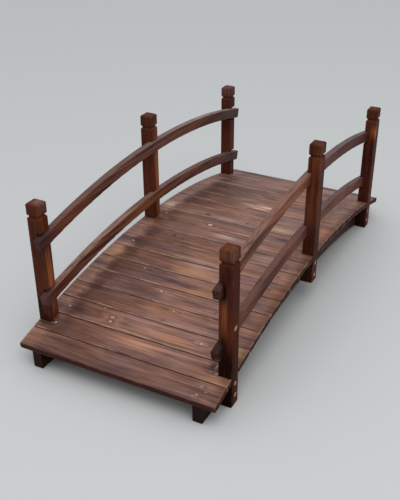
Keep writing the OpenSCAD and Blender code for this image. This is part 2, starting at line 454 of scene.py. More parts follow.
def paint_patches(wiring, timber, place, colour, figure):
    """Blends each patch in by bell * amount, broken up by the streaks."""
    broken = wiring.step(figure["Streak"], 0.35, 0.62, 0.25, 1.0)
    for centre, reach, amount, paint in timber.patches:
        mask = wiring.times(bell(wiring, place, centre, reach), broken, amount)
        colour = wiring.blend(mask, colour, paint)
    return colour


def scorch_clouds(wiring, timber, place, figure):
    """Amount of scorch: a noise past a threshold, less of it on the bands that brushed clean."""
    clouds = wiring.step(grain_noise(wiring, "scorch", place, timber.seed), SCORCH_FROM, SCORCH_TO)
    return wiring.times(clouds, timber.scorch, wiring.step(figure["Band"], 0.3, 0.7, 1.0, 0.6))


# %% [markdown]
# ## Knots and worn corners
# A knot needs two steps. It is placed before the rings are worked out, because it pushes them
# aside, and painted last, because hard wood takes neither stain nor char. Use and weather rub
# the corners pale and hardly touch a face, so wear is strong where two faces are near.

# %% Knots and worn corners
KNOT_RIM, WORN = (0.045, 0.020, 0.015), (0.36, 0.21, 0.14)
WORN_FROM, WORN_TO = 0.0045, 0.0005


def set_knots(wiring, timber, place):
    """The sum of the pushes on the rings, the cores with their colours, and the rims."""
    push, cores, rims = 0.0, [], []
    for across, along, size, paint in timber.knots:
        knot = wiring.node("ShaderNodeGroup", node_tree=KNOT)
        wiring.fill(knot.inputs["Place"], place)
        knot.inputs["Centre"].default_value = (across, along, 0.0)
        knot.inputs["Size"].default_value = size
        push = wiring.plus(knot.outputs["Push"], push)
        cores.append((knot.outputs["Core"], paint))
        rims.append(knot.outputs["Rim"])
    return push, cores, rims


def paint_knots(wiring, colour, cores, rims, figure):
    """Blends the rims in first and the cores over them, with the fibres showing through."""
    for rim in rims:
        colour = wiring.blend(wiring.times(rim, 0.65), colour, KNOT_RIM)
    for core, paint in cores:
        colour = wiring.blend(wiring.times(core, wiring.step(figure["Fibre"], 0.3, 0.7, 0.75, 1.0)),
                              colour, paint)
    return colour


def worn_corners(wiring, timber, place, parts):
    """Amount of wear: nearness to one face times nearness to the next, rubbed through by noise."""
    near = [wiring.step(wiring.math("ABSOLUTE", value), half - WORN_FROM, half - WORN_TO)
            for value, half in zip(parts, timber.half_size)]
    corner = wiring.plus(wiring.times(near[0], near[1]), wiring.times(near[1], near[2]),
                         wiring.times(near[2], near[0]))
    rubbed = wiring.step(grain_noise(wiring, "rubbed", place, timber.seed), 0.42, 0.62)
    return wiring.times(corner, rubbed, timber.wear)


# %% [markdown]
# ## Shine and relief
# The stain is semi-satin. Hard late wood takes a little shine, while fibres and char stay dull.
# Brushing left the lines standing proud by a fraction of a millimetre, too little to be worth a
# mesh, so a bump tells it.

# %% Shine and relief
ROUGHNESS = 0.5
RELIEF = 0.0006


def finish_surface(wiring, timber, shader, figure, char):
    """Roughness: lower on late wood, plus fibres and char. Height: a weighted sum of the figure."""
    rough = wiring.plus(wiring.step(figure["Late"], 0.0, 1.0, ROUGHNESS + 0.06, ROUGHNESS - 0.05),
                        wiring.swing(figure["Fibre"], 0.25), wiring.times(char, 0.5))
    wiring.fill(shader.inputs["Roughness"], wiring.math("MINIMUM", rough, 1.0))
    shader.inputs["Specular IOR Level"].default_value = timber.gloss
    height = wiring.plus(wiring.times(figure["Late"], 0.55), wiring.times(figure["Fibre"], 0.45),
                         wiring.times(figure["Grain"], 0.45), wiring.times(figure["Streak"], 0.3))
    bump = wiring.node("ShaderNodeBump", {"Height": height, "Strength": 0.55, "Distance": RELIEF})
    wiring.fill(shader.inputs["Normal"], bump.outputs["Normal"])


# %% [markdown]
# ## The whole recipe
# The material first goes from the object's coordinates to the timber's own frame, and then adds
# one layer after another. A kind of timber that needs more, such as a deck board, hands in a
# function that is called between the scorch and the knots.

# %% Growing a timber


def grow(timber, extra=None):
    """The material of one timber. extra(wiring, place, parts, colour, figure) may add to it."""
    material, shader, wiring = new_material(timber.name + "_wood")
    solid = wiring.node("ShaderNodeTexCoord").outputs["Object"]
    place = wiring.node("ShaderNodeMapping", {"Vector": solid, "Location": timber.centre,
                                              "Rotation": timber.turn}, vector_type="TEXTURE"
                        ).outputs["Vector"]
    parts = wiring.parts(place)
    push, cores, rims = set_knots(wiring, timber, place)

    group = wiring.node("ShaderNodeGroup", node_tree=FIGURE)
    for label, value in (("Place", place), ("Seed", timber.seed), ("Pith", timber.pith),
                         ("Ring", timber.ring), ("Push", push)):
        wiring.fill(group.inputs[label], value)
    figure = group.outputs

    colour = stain(wiring, timber, place, parts[1], figure)
    colour = lines_and_fibres(wiring, timber, colour, figure)
    colour = paint_patches(wiring, timber, place, colour, figure)
    scorch = scorch_clouds(wiring, timber, place, figure)
    colour, char = wiring.blend(scorch, colour, SCORCHED), scorch
    if extra:
        colour, char = extra(wiring, place, parts, colour, figure)
        char = wiring.math("MAXIMUM", char, scorch)
    colour = paint_knots(wiring, colour, cores, rims, figure)
    colour = wiring.blend(worn_corners(wiring, timber, place, parts), colour, WORN)
    wiring.fill(shader.inputs["Base Color"], colour)
    finish_surface(wiring, timber, shader, figure, char)
    return material


def dress(name, material):
    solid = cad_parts[name]
    solid.data.materials.clear()
    solid.data.materials.append(material)


# %% [markdown]
# ## The deck boards
# A board's frame sits in the middle of its thickness and turns with the arch: X across the
# board, Y along it, Z out of the deck. Every board gets its own pith under the face, so that
# some show straight lines and some show long arches.
#
# The knots come first. Each is listed, board by board.

# %% Knots of the boards
PALE, ROSE, PINK = (0.50, 0.34, 0.26), (0.43, 0.26, 0.195), (0.40, 0.21, 0.155)
RUST, DARK, GOLD = (0.22, 0.070, 0.032), (0.030, 0.010, 0.007), (0.54, 0.33, 0.24)
TAN, HONEY, ORANGE = (0.42, 0.20, 0.095), (0.33, 0.145, 0.065), (0.46, 0.19, 0.075)
PLUM, UMBER = (0.050, 0.015, 0.012), (0.070, 0.023, 0.012)

# place across and along the board, size, colour of the core
board_knots = {
    3: [(-0.012, 0.108, 0.0052, ROSE), (0.005, 0.110, 0.0068, PINK), (0.030, 0.152, 0.0028, ROSE),
        (0.006, -0.180, 0.0048, (0.56, 0.35, 0.28))],
    4: [(-0.024, -0.033, 0.0036, RUST), (0.021, -0.045, 0.0046, PINK)],
    5: [(0.014, 0.034, 0.0058, ROSE), (-0.013, -0.160, 0.0040, RUST)],
    6: [(0.022, 0.140, 0.0038, PINK)],
    9: [(-0.020, -0.261, 0.0060, RUST), (0.012, 0.150, 0.0050, DARK)],
    11: [(-0.012, 0.078, 0.0072, (0.62, 0.43, 0.35))],
    12: [(-0.015, 0.122, 0.0065, DARK), (-0.016, -0.030, 0.0040, DARK),
         (-0.032, -0.195, 0.0045, DARK)],
    14: [(0.010, 0.020, 0.0045, RUST)],
    16: [(-0.012, 0.200, 0.0065, DARK)],
    18: [(0.014, -0.110, 0.0070, PINK)],
}
print("knots:", sum(len(knots) for knots in board_knots.values()))

# %% [markdown]
# Then the patches. A few boards wore to a warm tan or a pale pink in the middle, the second one
# is ragged at the near right post and carries a painted shadow there, and the ends took more stain
# than the rest. Later patches lie over earlier ones.

# %% Patches of the boards
# place across and along the board, reach both ways, amount, colour
board_patches = {
    1: [(0.0, 0.310, 0.05, 0.006, 0.6, TAN), (-0.018, 0.00, 0.022, 0.140, 0.75, PLUM),
        (-0.018, -0.16, 0.014, 0.050, 0.6, (0.10, 0.055, 0.048)),
        (0.022, 0.00, 0.012, 0.100, 0.8, (0.215, 0.125, 0.115)),
        (0.0, 0.17, 0.026, 0.050, 0.6, (0.10, 0.050, 0.044)),
        (0.024, -0.26, 0.010, 0.030, 0.7, (0.28, 0.15, 0.105)),
        (0.0, 0.28, 0.04, 0.04, 0.6, (0.17, 0.070, 0.034)),
        (0.0, -0.20, 0.040, 0.070, 0.4, (0.16, 0.098, 0.088)),
        (-0.011, -0.247, 0.0025, 0.004, 0.8, PALE), (0.004, -0.266, 0.002, 0.004, 0.7, PALE),
        (0.016, -0.249, 0.0025, 0.003, 0.7, PALE), (-0.017, -0.238, 0.002, 0.003, 0.6, PALE)],
    2: [(0.016, -0.005, 0.018, 0.085, 1.3, (0.46, 0.215, 0.125)),
        (0.02, 0.16, 0.014, 0.06, 0.7, (0.25, 0.095, 0.045)),
        (0.0, -0.16, 0.030, 0.050, 0.35, (0.20, 0.11, 0.085)),
        (-0.015, 0.18, 0.024, 0.110, 0.75, UMBER),
        (0.0, 0.285, 0.040, 0.030, 1.8, (0.055, 0.019, 0.012)),
        (-0.024, -0.07, 0.012, 0.080, 0.4, PLUM),
        (-0.022, -0.205, 0.014, 0.060, 1.1, (0.135, 0.070, 0.052)),
        # painted shadow on the second board at the near right post
        (0.012, -0.248, 0.018, 0.011, 1.8, (0.055, 0.024, 0.017)),
        (0.018, -0.2555, 0.008, 0.0022, 1.2, (0.32, 0.21, 0.17)),
        (-0.004, -0.265, 0.003, 0.005, 1.6, (0.42, 0.27, 0.20)),
        (-0.001, -0.247, 0.002, 0.004, 1.2, (0.36, 0.22, 0.17))],
    3: [(0.0, -0.02, 0.040, 0.110, 0.45, PINK),
        (-0.026, -0.15, 0.006, 0.090, 0.7, (0.24, 0.13, 0.10)),
        (0.0, 0.20, 0.018, 0.050, 0.5, (0.10, 0.050, 0.038)),
        (-0.020, 0.285, 0.018, 0.020, 0.6, UMBER),
        (0.016, -0.294, 0.020, 0.014, 1.5, (0.42, 0.27, 0.135))],
    4: [(0.004, 0.02, 0.010, 0.050, 0.6, TAN), (-0.004, 0.20, 0.016, 0.060, 0.6, UMBER),
        (0.002, 0.29, 0.012, 0.020, 0.5, UMBER),
        (0.024, 0.15, 0.010, 0.075, 1.0, (0.24, 0.13, 0.105)),
        (-0.015, -0.15, 0.020, 0.070, 0.4, PINK)],
    5: [(0.0, 0.290, 0.04, 0.022, 0.45, UMBER), (-0.010, -0.04, 0.018, 0.080, 0.3, PLUM),
        (0.020, 0.00, 0.012, 0.050, 0.4, HONEY),
        (0.014, 0.165, 0.018, 0.050, 1.0, (0.21, 0.115, 0.090)),
        (0.0, 0.00, 0.012, 0.030, 0.6, ROSE)],
    6: [(0.0, 0.19, 0.035, 0.030, 0.4, UMBER),
        (0.014, -0.20, 0.018, 0.024, 0.6, (0.085, 0.050, 0.042)),
        (0.0, 0.13, 0.014, 0.040, 0.5, (0.19, 0.11, 0.095)),
        (-0.010, -0.27, 0.020, 0.030, 0.8, (0.21, 0.115, 0.090)),
        (-0.020, -0.10, 0.012, 0.080, 0.4, HONEY)],
    7: [(0.0, 0.275, 0.030, 0.025, 0.7, TAN), (-0.006, -0.03, 0.022, 0.060, 0.9, TAN),
        (-0.018, 0.18, 0.014, 0.050, 0.6, (0.10, 0.055, 0.048)),
        (0.021, -0.015, 0.012, 0.065, 1.5, (0.39, 0.205, 0.145)),
        (0.020, 0.245, 0.014, 0.018, 0.9, UMBER)],
    8: [(-0.022, 0.065, 0.004, 0.022, 0.6, PALE),
        (-0.018, 0.155, 0.014, 0.030, 0.6, (0.11, 0.062, 0.052)),
        (0.0, -0.06, 0.025, 0.060, 0.4, HONEY),
        (-0.020, 0.00, 0.014, 0.070, 1.1, (0.35, 0.195, 0.150))],
    9: [(0.0, 0.290, 0.04, 0.022, 0.45, UMBER), (0.030, 0.28, 0.010, 0.020, 0.6, ORANGE),
        (-0.018, -0.03, 0.014, 0.030, 0.5, RUST),
        (0.0, -0.205, 0.032, 0.060, 1.3, (0.32, 0.185, 0.145)),
        (0.0, 0.15, 0.025, 0.060, 0.4, PLUM), (-0.018, -0.313, 0.007, 0.007, 1.0, DARK)],
    10: [(-0.018, 0.08, 0.016, 0.050, 0.8, (0.16, 0.085, 0.070)),
         (-0.006, -0.14, 0.025, 0.060, 0.7, PINK),
         (0.020, 0.16, 0.018, 0.075, 0.8, (0.13, 0.062, 0.048)),
         (0.022, 0.27, 0.016, 0.034, 1.9, UMBER),
         (0.002, 0.00, 0.011, 0.045, 1.3, (0.45, 0.29, 0.23))],
    11: [(0.012, 0.28, 0.030, 0.020, 0.6, ORANGE), (0.0, 0.16, 0.025, 0.030, 0.5, RUST),
         (-0.021, 0.075, 0.011, 0.055, 1.1, (0.34, 0.195, 0.155)),
         (0.0, 0.268, 0.016, 0.024, 1.8, (0.070, 0.028, 0.020)),
         (0.0, -0.01, 0.014, 0.040, 0.5, (0.17, 0.095, 0.082)),
         (-0.018, -0.15, 0.014, 0.030, 0.5, (0.14, 0.088, 0.078))],
    12: [(0.0, 0.28, 0.030, 0.026, 1.2, PALE),
         (-0.018, 0.055, 0.011, 0.060, 1.3, (0.47, 0.31, 0.25)),
         (-0.010, -0.155, 0.014, 0.050, 1.6, (0.50, 0.32, 0.22)),
         (0.012, 0.09, 0.018, 0.090, 0.6, (0.15, 0.085, 0.066)),
         (-0.021, 0.205, 0.012, 0.050, 2.6, (0.34, 0.19, 0.14)),
         (0.028, -0.29, 0.018, 0.022, 1.0, ORANGE)],
    13: [(-0.010, -0.15, 0.020, 0.040, 0.9, (0.33, 0.19, 0.155)),
         (0.0, 0.285, 0.03, 0.022, 0.7, PINK), (-0.010, 0.20, 0.030, 0.060, 0.6, PLUM),
         (-0.030, -0.285, 0.020, 0.020, 1.0, ORANGE), (0.015, -0.28, 0.012, 0.030, 0.6, DARK)],
    14: [(0.000, 0.025, 0.007, 0.035, 1.8, GOLD),
         (0.003, -0.035, 0.007, 0.026, 2.4, (0.66, 0.43, 0.31)),
         (-0.020, -0.010, 0.007, 0.030, 1.3, GOLD),
         (0.021, -0.015, 0.009, 0.040, 1.3, (0.40, 0.22, 0.155)),
         (-0.010, 0.00, 0.004, 0.040, 0.9, ORANGE), (0.0, 0.290, 0.04, 0.022, 0.45, UMBER),
         (0.0, 0.20, 0.030, 0.040, 0.4, UMBER), (0.0, -0.29, 0.020, 0.020, 0.7, TAN)],
    15: [(0.0, 0.20, 0.030, 0.060, 0.5, PLUM), (0.004, -0.05, 0.025, 0.090, 0.3, PLUM),
         (-0.020, 0.055, 0.011, 0.040, 1.0, (0.29, 0.165, 0.13)),
         (0.0, -0.265, 0.016, 0.030, 0.9, (0.27, 0.155, 0.12)),
         (0.022, -0.15, 0.012, 0.025, 0.6, (0.08, 0.036, 0.027))],
    16: [(0.0, 0.285, 0.03, 0.022, 0.9, PINK), (0.010, 0.21, 0.030, 0.070, 0.6, PLUM),
         (-0.020, -0.28, 0.016, 0.030, 0.6, PINK)],
    17: [(-0.025, 0.19, 0.008, 0.070, 0.9, PALE), (0.0, -0.15, 0.012, 0.020, 0.5, PINK),
         (0.0, 0.24, 0.020, 0.020, 0.5, UMBER), (0.0, -0.28, 0.020, 0.030, 0.6, PINK)],
    18: [(-0.010, 0.27, 0.040, 0.040, 1.0, UMBER), (0.0, 0.08, 0.040, 0.120, 0.5, PINK),
         (-0.020, -0.28, 0.016, 0.030, 0.7, PINK)],
    19: [(0.0, 0.05, 0.040, 0.120, 0.5, PINK)],
}
print("patches:", sum(len(patches) for patches in board_patches.values()))

# %% [markdown]
# ## What only a board has
# The torch was held along the left edge, which left a dark cloud on each board just inside the
# screws. The near arris is rubbed pale and also painted with a highlight where its rounding faces
# the light, and the far one is darker. An arris is the sharp edge between two faces.

# %% Torch cloud and arrises
TORCHED, RUBBED_AND_HIGHLIT = (0.050, 0.018, 0.011), (0.46, 0.27, 0.17)
# where along the board, in metres, the haze and the cloud begin and end
HAZE_BEGINS, HAZE_ENDS = (0.270, 0.236), (-0.02, 0.16)
CLOUD_BEGINS, CLOUD_ENDS = (0.270, 0.234), (0.185, 0.235)
HAZE_SHARE, CLOUD_WANDERS = 0.42, 0.085
# where across the board the two arrises are, and where along it the right end is
NEAR_ARRIS, FAR_ARRIS, RIGHT_END = (-0.0285, -0.0325), (0.0305, 0.0345), (-0.276, -0.305)

# how strongly the torch marked each board, from the first to the last
torch = [0.10, 0.64, 0.82, 0.72, 0.74, 0.70, 0.74, 0.68, 0.85, 0.14, 0.40, 0.38, 0.60, 0.66, 0.55,
         0.66, 0.16, 0.46, 0.20, 0.12]


def torch_cloud(wiring, board, place, along, colour, figure):
    """A haze that fades towards the middle, and over it a dark cloud with an uneven rim."""
    smoke = wiring.noise(place, (22.0, 16.0, 0.0), board * 1.7, 2.0, 0.6)
    reach = wiring.plus(along, wiring.swing(smoke, CLOUD_WANDERS))
    haze = wiring.times(wiring.step(reach, *HAZE_BEGINS), wiring.step(reach, *HAZE_ENDS),
                        HAZE_SHARE, torch[board - 1] ** 0.5)
    colour = wiring.blend(haze, colour, UMBER)
    cloud = wiring.times(wiring.step(reach, *CLOUD_BEGINS), wiring.step(reach, *CLOUD_ENDS),
                         torch[board - 1], wiring.step(figure["Streak"], 0.3, 0.7, 0.95, 0.65))
    return wiring.blend(cloud, colour, TORCHED), cloud


def board_arrises(wiring, board, place, across, along, colour):
    """Pale along the near arris, wear and painted highlight, by noise; dark along the far arris and
    at the right end.
    """
    broken = wiring.noise(place, (60.0, 13.0, 0.0), board * 2.3, 3.0, 0.65)
    # the near arris: rubbed pale, and a painted highlight where its rounding faces the light
    near = wiring.times(wiring.step(across, *NEAR_ARRIS), wiring.step(broken, 0.44, 0.62),
                        0.3 if board == 1 else 0.6)
    colour = wiring.blend(near, colour, RUBBED_AND_HIGHLIT)
    colour = wiring.blend(wiring.step(across, *FAR_ARRIS, 0.0, 0.45), colour, UMBER)
    return wiring.blend(wiring.times(wiring.step(along, *RIGHT_END), 0.5), colour, UMBER)


# %% [markdown]
# Each screw sits in a small dark ring of torn grain, with painted shade of its countersink. The
# upright edges and the ends never lie in the sun and keep the dark stain, and they are painted darker
# still as the shade on faces that don't look up. They are told by the way that a face looks and not
# by place, because the front edge of the first board is rounded.

# %% Screw rings and upright edges
BOARDS = 20
BEAM_Y = 0.2575
SCREW_SHIFT = 0.018
RING_STARTS, RING_STOPS = (0.0035, 0.0045), (0.0052, 0.0075)
TORN_GRAIN_AND_SHADE, END_STAIN_AND_SHADE = (0.030, 0.016, 0.012), (0.020, 0.006, 0.004)
EDGE_STAIN_AND_SHADE, FRONT_STAIN_AND_SHADE = (0.095, 0.040, 0.025), (0.034, 0.0065, 0.0025)


def screw_rings(wiring, board, across, along, colour):
    """A dark ring of torn grain and painted countersink shade, by the distance sqrt(a**2 + b**2) from
    the nearest screw, plainer at the right end.
    """
    aside = wiring.math("ABSOLUTE", across)
    if board in (1, BOARDS):
        aside = wiring.math("ABSOLUTE", wiring.math("SUBTRACT", aside, SCREW_SHIFT))
    beside = wiring.math("SUBTRACT", wiring.math("ABSOLUTE", along), BEAM_Y)
    far = wiring.math("SQRT", wiring.plus(wiring.times(aside, aside), wiring.times(beside, beside)))
    ring = wiring.times(wiring.step(far, *RING_STARTS), wiring.step(far, *RING_STOPS, 1.0, 0.0))
    strength = wiring.step(along, -0.1, 0.1, 0.3, 0.3 if board == 1 else 0.6)
    # painted shade: the ring stands partly for the shade of the countersink round each screw
    return wiring.blend(wiring.times(ring, strength), colour, TORN_GRAIN_AND_SHADE)


def upright_edges(wiring, board, colour):
    """Amount of dark stain and painted shade on the edges and the ends, by how level the face looks
    out.
    """
    out_x, out_y, _ = wiring.parts(wiring.node("ShaderNodeNewGeometry").outputs["True Normal"])
    edge = wiring.step(wiring.math("ABSOLUTE", out_x), 0.45, 0.8, 0.0, 0.97)
    end = wiring.step(wiring.math("ABSOLUTE", out_y), 0.7, 0.95, 0.0, 0.92)
    # painted shade with the stain: the ends, the upright edges and the first board's front face away
    # from the sky
    colour = wiring.blend(end, colour, END_STAIN_AND_SHADE)
    return wiring.blend(edge, colour, FRONT_STAIN_AND_SHADE if board == 1 else EDGE_STAIN_AND_SHADE), edge, end


def board_layers(board):
    """The extra layers of one board, as grow() takes them."""
    def extra(wiring, place, parts, colour, figure):
        across, along, _ = parts
        colour, cloud = torch_cloud(wiring, board, place, along, colour, figure)
        colour = board_arrises(wiring, board, place, across, along, colour)
        colour = screw_rings(wiring, board, across, along, colour)
        colour, edge, end = upright_edges(wiring, board, colour)
        return colour, wiring.plus(cloud, edge, end)
    return extra


# %% [markdown]
# ## Dressing the deck
# A board lies on the arch at an angle that is its place from the middle of the deck, times the
# pitch, over the radius. Its frame takes the same angle, so the rings are cut square to the board
# and not square to the world. From the fifth board on the stain is a little greyer.

# %% Deck boards
DECK_RADIUS = 2.580
CROWN = 0.1705
CENTRE_Z = CROWN - DECK_RADIUS
BOARD_PITCH = 0.072
BOARD_HALF = (0.035, 0.311, 0.0085)
FRONT_BOARDS = 4
FAR_TONES = ((0.080, 0.032, 0.025), (0.353, 0.176, 0.123))

# how much lighter each board is than the mean, from the first to the last
lightness = [-0.27, -0.04, 0.03, 0.03, 0.17, -0.04, 0.00, 0.07, -0.07, 0.12, 0.04, 0.13, 0.04, 0.10,
             -0.05, -0.14, 0.00, 0.00, 0.14, -0.22]
piths = [(0.01, 0, -0.045), (0.03, 0, -0.06), (-0.02, 0, -0.035), (0.0, 0, -0.03), (0.04, 0, -0.05)]


def board_angle(board):
    """(board - middle of the deck) * pitch / radius, in radians."""
    return (board - (BOARDS + 1) / 2) * BOARD_PITCH / DECK_RADIUS


for board in range(1, BOARDS + 1):
    angle = board_angle(board)
    middle = DECK_RADIUS - BOARD_HALF[2]
    timber = Timber("deck_board_%02d" % board,
                    (middle * math.sin(angle), 0.0, CENTRE_Z + middle * math.cos(angle)),
                    (0.0, angle, 0.0), BOARD_HALF, seed=board * 5.3, pith=piths[board % 5],
                    ring=0.0042 + 0.0006 * (board % 3))
    timber.lightness = lightness[board - 1]
    timber.knots = board_knots.get(board, [])
    timber.patches = [((across, along, 0.0), (wide, long, 0.0), amount, paint)
                      for across, along, wide, long, amount, paint in board_patches.get(board, [])]
    timber.scorch, timber.gloss, timber.contrast, timber.mottle = 0.40, 0.26, 0.90, 0.8
    if board > FRONT_BOARDS:
        timber.tones = FAR_TONES
    # painted light: each board is lighter over its right half and at its left end, lifting the shade
    # that rails and posts throw on the deck
    timber.drift = [(0.05, -0.12, 0.10), (0.250, 0.275, 0.19)]
    if board == 1:
        timber.mottle, timber.wear = 0.4, 0.15
    dress(timber.name, grow(timber, board_layers(board)))
print("boards dressed:", BOARDS)

# %% [markdown]
# ## Posts
# The same wood in darker stain, with the grain running up; its tones and the maroon on its faces are
# also painted shade, as an upright face gets less of the sky than a board. A post is sooty at its
# foot, dusty on its bevelled top, where painted sheen of the sky also greys it, and a few faces glow
# orange where the stain lay thin. On the near face of the near right post a painted shadow lies
# beside each rail stub. A patch names its face by its place: a face lies 20 mm from the middle of
# the post.

# %% Posts
POST_HALF = 0.020
# the maroon darkens upright faces of posts and rails: a maroon stain, with painted shade as upright
# faces get less of the sky
EMBER, MAROON_AND_SHADE, SOOT_AND_SHADE = (0.34, 0.105, 0.040), (0.062, 0.012, 0.007), (0.013, 0.0035, 0.002)
# dust on the bevelled tops, with painted sheen of the sky greying them
DUST_AND_SHEEN, SMOKE = (0.13, 0.068, 0.055), (0.040, 0.018, 0.013)

# place (along the bridge, up, to the right of the post's middle), reach, amount, colour
post_patches = {
    (-1, 1): [((0.002, -0.02, 0.02), (0.014, 0.11, 0.007), 1.3, EMBER),
              ((-0.02, -0.112, -0.016), (0.006, 0.036, 0.010), 4.0, SOOT_AND_SHADE),
              ((-0.02, -0.140, 0.0), (0.006, 0.022, 0.03), 3.0, SOOT_AND_SHADE),
              ((0.0, -0.14, 0.02), (0.0, 0.045, 0.010), 0.8, MAROON_AND_SHADE),
              ((-0.02, 0.0, 0.0), (0.006, 0.0, 0.0), 0.3, MAROON_AND_SHADE),
              ((-0.02, 0.11, -0.01), (0.01, 0.10, 0.0), 0.6, SOOT_AND_SHADE),
              ((0.006, 0.226, 0.02), (0.018, 0.020, 0.012), 1.1, DUST_AND_SHEEN),
              # a paler top: dust with painted sheen
              ((0.004, 0.240, 0.006), (0.016, 0.009, 0.014), 1.5, (0.17, 0.105, 0.078))],
    (0, 1): [((0.010, 0.02, 0.02), (0.010, 0.16, 0.008), 1.3, EMBER),
             ((-0.02, 0.0, 0.0), (0.006, 0.0, 0.0), 0.75, MAROON_AND_SHADE),
             ((0.0, 0.222, 0.0), (0.0, 0.022, 0.0), 0.7, SMOKE)],
    (1, 1): [((-0.02, 0.0, 0.0), (0.006, 0.0, 0.0), 0.7, MAROON_AND_SHADE),
             ((0.0, 0.220, 0.0), (0.0, 0.020, 0.0), 0.8, DUST_AND_SHEEN)],
    (-1, -1): [((-0.02, 0.04, -0.004), (0.006, 0.065, 0.010), 0.6, EMBER),
               ((-0.02, -0.24, 0.0), (0.01, 0.16, 0.0), 3.2, SOOT_AND_SHADE),
               # painted shadow: a dark strip beside the stub of the upper and of the lower rail on
               # the near face
               ((-0.02, 0.120, -0.005), (0.006, 0.026, 0.006), 2.4, SOOT_AND_SHADE),
               ((-0.02, -0.048, -0.005), (0.006, 0.030, 0.006), 2.4, SOOT_AND_SHADE),
               ((-0.02, -0.105, 0.0), (0.008, 0.035, 0.03), 3.0, SOOT_AND_SHADE),
               ((0.0, -0.12, 0.02), (0.0, 0.14, 0.006), 0.8, SOOT_AND_SHADE),
               ((0.0, 0.12, 0.02), (0.0, 0.10, 0.006), 0.8, (0.060, 0.013, 0.007)),
               ((-0.0008, 0.009, 0.02), (0.0065, 0.0055, 0.003), 1.8, (0.62, 0.32, 0.20)),
               # a paler top: dust with painted sheen
               ((0.0, 0.225, 0.0), (0.0, 0.018, 0.0), 0.6, (0.19, 0.088, 0.055))],
    (0, -1): [((-0.02, 0.04, -0.004), (0.006, 0.12, 0.010), 0.3, EMBER),
              ((-0.02, -0.20, 0.0), (0.006, 0.12, 0.0), 0.7, SOOT_AND_SHADE),
              ((0.0, 0.222, 0.0), (0.0, 0.022, 0.0), 0.7, SMOKE)],
    (1, -1): [((-0.02, 0.0, 0.0), (0.006, 0.0, 0.0), 0.5, MAROON_AND_SHADE),
              ((-0.02, -0.25, 0.0), (0.006, 0.14, 0.0), 1.5, SOOT_AND_SHADE),
              ((0.0, 0.222, 0.0), (0.0, 0.022, 0.0), 0.7, SMOKE),
              ((0.0, 0.0, 0.02), (0.0, 0.0, 0.008), 0.9, MAROON_AND_SHADE),
              ((-0.016, 0.150, 0.02), (0.012, 0.024, 0.014), 1.4, EMBER)],
}
post_lightness = {(0, -1): -0.07, (1, -1): -0.08, (1, 1): -0.06}

for number, (along, side) in enumerate([(a, s) for a in (-1, 0, 1) for s in (1, -1)]):
    name = "post_%s_%s" % (("near", "middle", "far")[along + 1], "left" if side > 0 else "right")
    low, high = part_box(name)
    timber = Timber(name, tuple((low + high) / 2), (math.pi / 2, 0.0, 0.0),
                    (POST_HALF, (high.z - low.z) / 2, POST_HALF), seed=131.0 + number * 7.7,
                    pith=(0.03 * (-1) ** number, 0.0, 0.025), ring=0.0040)
    # a dark stain, made darker still as painted shade for upright faces
    timber.tones = ((0.026, 0.0070, 0.0045), (0.165, 0.042, 0.016))
    timber.scorch, timber.wear, timber.lines, timber.contrast = 0.6, 0.1, 0.25, 0.5
    timber.gloss = 0.02 if (along, side) == (-1, -1) else 0.05
    timber.lightness = post_lightness.get((along, side), 0.0)
    timber.patches = post_patches[(along, side)]
    dress(name, grow(timber))
    print(name, "%.0f mm long" % (1000 * (high.z - low.z)))

# %% [markdown]
# ## Rails
# A rail is sawn in a curve out of a straight plank, so its grain stays straight and runs out at
# the ends. Rain and sun bleached the tops, and the tops are also painted lighter and greyer as the
# light and sheen of the sky on a face that looks up, more at one end than at the other. The tips
# stayed dark, and the sides are dark stain with painted shade.

# %% Rails
RAIL_HALF = (0.011, 0.63, 0.2)
ASH, CHAR, TIP = (0.045, 0.032, 0.026), (0.030, 0.009, 0.006), (0.040, 0.020, 0.020)
# where along the rail, in metres, the near tone turns to the far one, and where the tip begins
TONES_TURN, TIP_BEGINS = (-0.35, 0.40), (-0.55, -0.61)

# place (to the right of the rail's middle, along the bridge, up), reach, amount, colour
rail_patches = {
    ("upper", "left"): [((0.011, -0.56, 0.0), (0.0, 0.10, 0.0), 0.6, MAROON_AND_SHADE),
                        ((0.011, 0.40, 0.0), (0.0, 0.18, 0.0), 1.3, MAROON_AND_SHADE),
                        ((0.0, 0.62, 0.0), (0.0, 0.11, 0.0), 1.3, ASH),
                        ((0.0, -0.63, 0.0), (0.0, 0.045, 0.0), 1.5, (0.042, 0.017, 0.014))],
    ("lower", "left"): [((0.0, 0.62, 0.0), (0.0, 0.09, 0.0), 1.0, ASH),
                        ((0.0, -0.63, 0.0), (0.0, 0.030, 0.0), 2.2, (0.110, 0.047, 0.040)),
                        ((0.011, -0.58, 0.0), (0.0, 0.07, 0.0), 0.7, MAROON_AND_SHADE),
                        ((0.011, -0.10, 0.0), (0.006, 0.08, 0.0), 0.6, EMBER),
                        ((0.011, -0.30, 0.0), (0.006, 0.12, 0.0), 0.3, EMBER)],
    ("upper", "right"): [((0.011, -0.22, 0.0), (0.006, 0.18, 0.0), 0.65, EMBER),
                         ((0.011, 0.40, 0.0), (0.0, 0.22, 0.0), 1.5, MAROON_AND_SHADE),
                         ((0.0, -0.63, 0.0), (0.0, 0.04, 0.0), 1.4, CHAR)],
    ("lower", "right"): [((0.0, -0.63, 0.0), (0.0, 0.04, 0.0), 1.6, CHAR),
                         ((0.006, -0.632, -0.056), (0.006, 0.006, 0.008), 1.2, (0.22, 0.125, 0.100)),
                         ((0.011, -0.30, 0.0), (0.006, 0.16, 0.0), 0.7, MAROON_AND_SHADE),
                         ((0.011, 0.30, 0.0), (0.006, 0.16, 0.0), 0.3, MAROON_AND_SHADE)],
}
